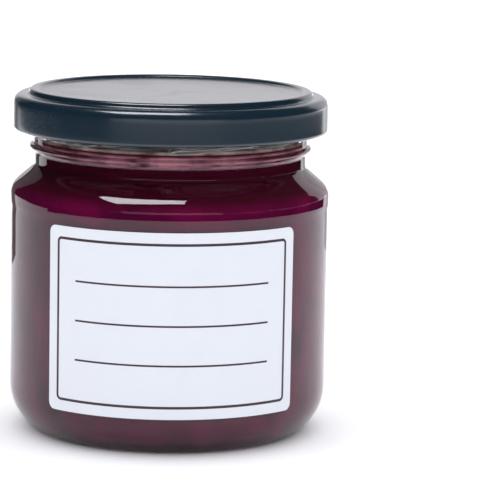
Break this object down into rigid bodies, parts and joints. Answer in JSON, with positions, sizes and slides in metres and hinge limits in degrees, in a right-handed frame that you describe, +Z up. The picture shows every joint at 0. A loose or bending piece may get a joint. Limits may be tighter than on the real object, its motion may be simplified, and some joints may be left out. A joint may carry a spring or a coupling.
{
  "type": "preserve jar",
  "caption": "Round clear glass preserve jar with a dark twist-off lug lid, a plain paper label and a dark set fruit filling.",
  "frame": {"origin": "middle of the base, on the surface that the jar stands on", "axes": "+Z up along the jar's axis; the label faces -Y"},
  "size_m": [0.0869, 0.0868, 0.0931],
  "materials": {
    "glass": "clear polished flint glass",
    "fruit": "glossy dark set preserve",
    "label_paper": "smooth coated paper with dark print",
    "lid_enamel": "satin black enamel on tinplate",
    "seal": "matt cast compound"
  },
  "bodies": {
    "jar": {"glass_jar": "glass", "fruit_fill": "fruit", "label": "label_paper"},
    "seal": {"sealing_ring": "seal"},
    "lid": {"lid_shell": "lid_enamel"}
  },
  "joints": [
    {"name": "lid_rise", "type": "slide", "parent": "jar", "child": "seal", "axis": [0, 0, 1], "range_m": [0, 0.018]},
    {"name": "lid_turn", "type": "hinge", "parent": "seal", "child": "lid", "pos_m": [0, 0, 0.0875], "axis": [0, 0, 1], "range_deg": [0, 360]}
  ],
  "couplings": [
    {"joint": "lid_rise", "follows": "lid_turn", "m_per_rad": 0.0028648}
  ]
}
